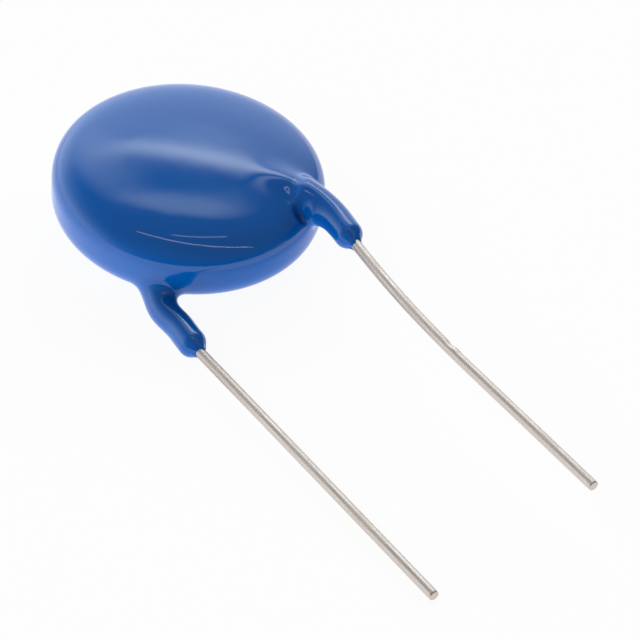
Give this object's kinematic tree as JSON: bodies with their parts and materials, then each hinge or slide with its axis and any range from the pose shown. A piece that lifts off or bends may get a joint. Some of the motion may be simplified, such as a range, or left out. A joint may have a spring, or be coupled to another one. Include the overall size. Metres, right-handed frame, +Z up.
{
  "type": "ceramic disc capacitor",
  "caption": "Radial ceramic disc capacitor: a round, thick epoxy-dipped body with coated boots running onto long, bare tinned wire leads.",
  "frame": {"origin": "on the floor under the middle of the part's bounding box, as it lies at rest", "axes": "+Y from the lead tips to the coated body, +Z up out of the front face, +X to the front lead's side"},
  "size_m": [0.0154, 0.0394, 0.0056],
  "materials": {
    "blue_epoxy": "glossy fluid-dipped epoxy, deep blue",
    "fired_ceramic": "dense fired dielectric ceramic, matte tan",
    "fired_silver": "matte fired silver paste",
    "solder": "smooth soft solder",
    "tinned_wire": "dull tinned copper wire with faint draw lines"
  },
  "bodies": {
    "root": {"epoxy_coating": "blue_epoxy", "ceramic_disc": "fired_ceramic", "front_electrode": "fired_silver", "back_electrode": "fired_silver", "front_solder": "solder", "back_solder": "solder", "front_lead": "tinned_wire", "back_lead": "tinned_wire"}
  },
  "joints": []
}
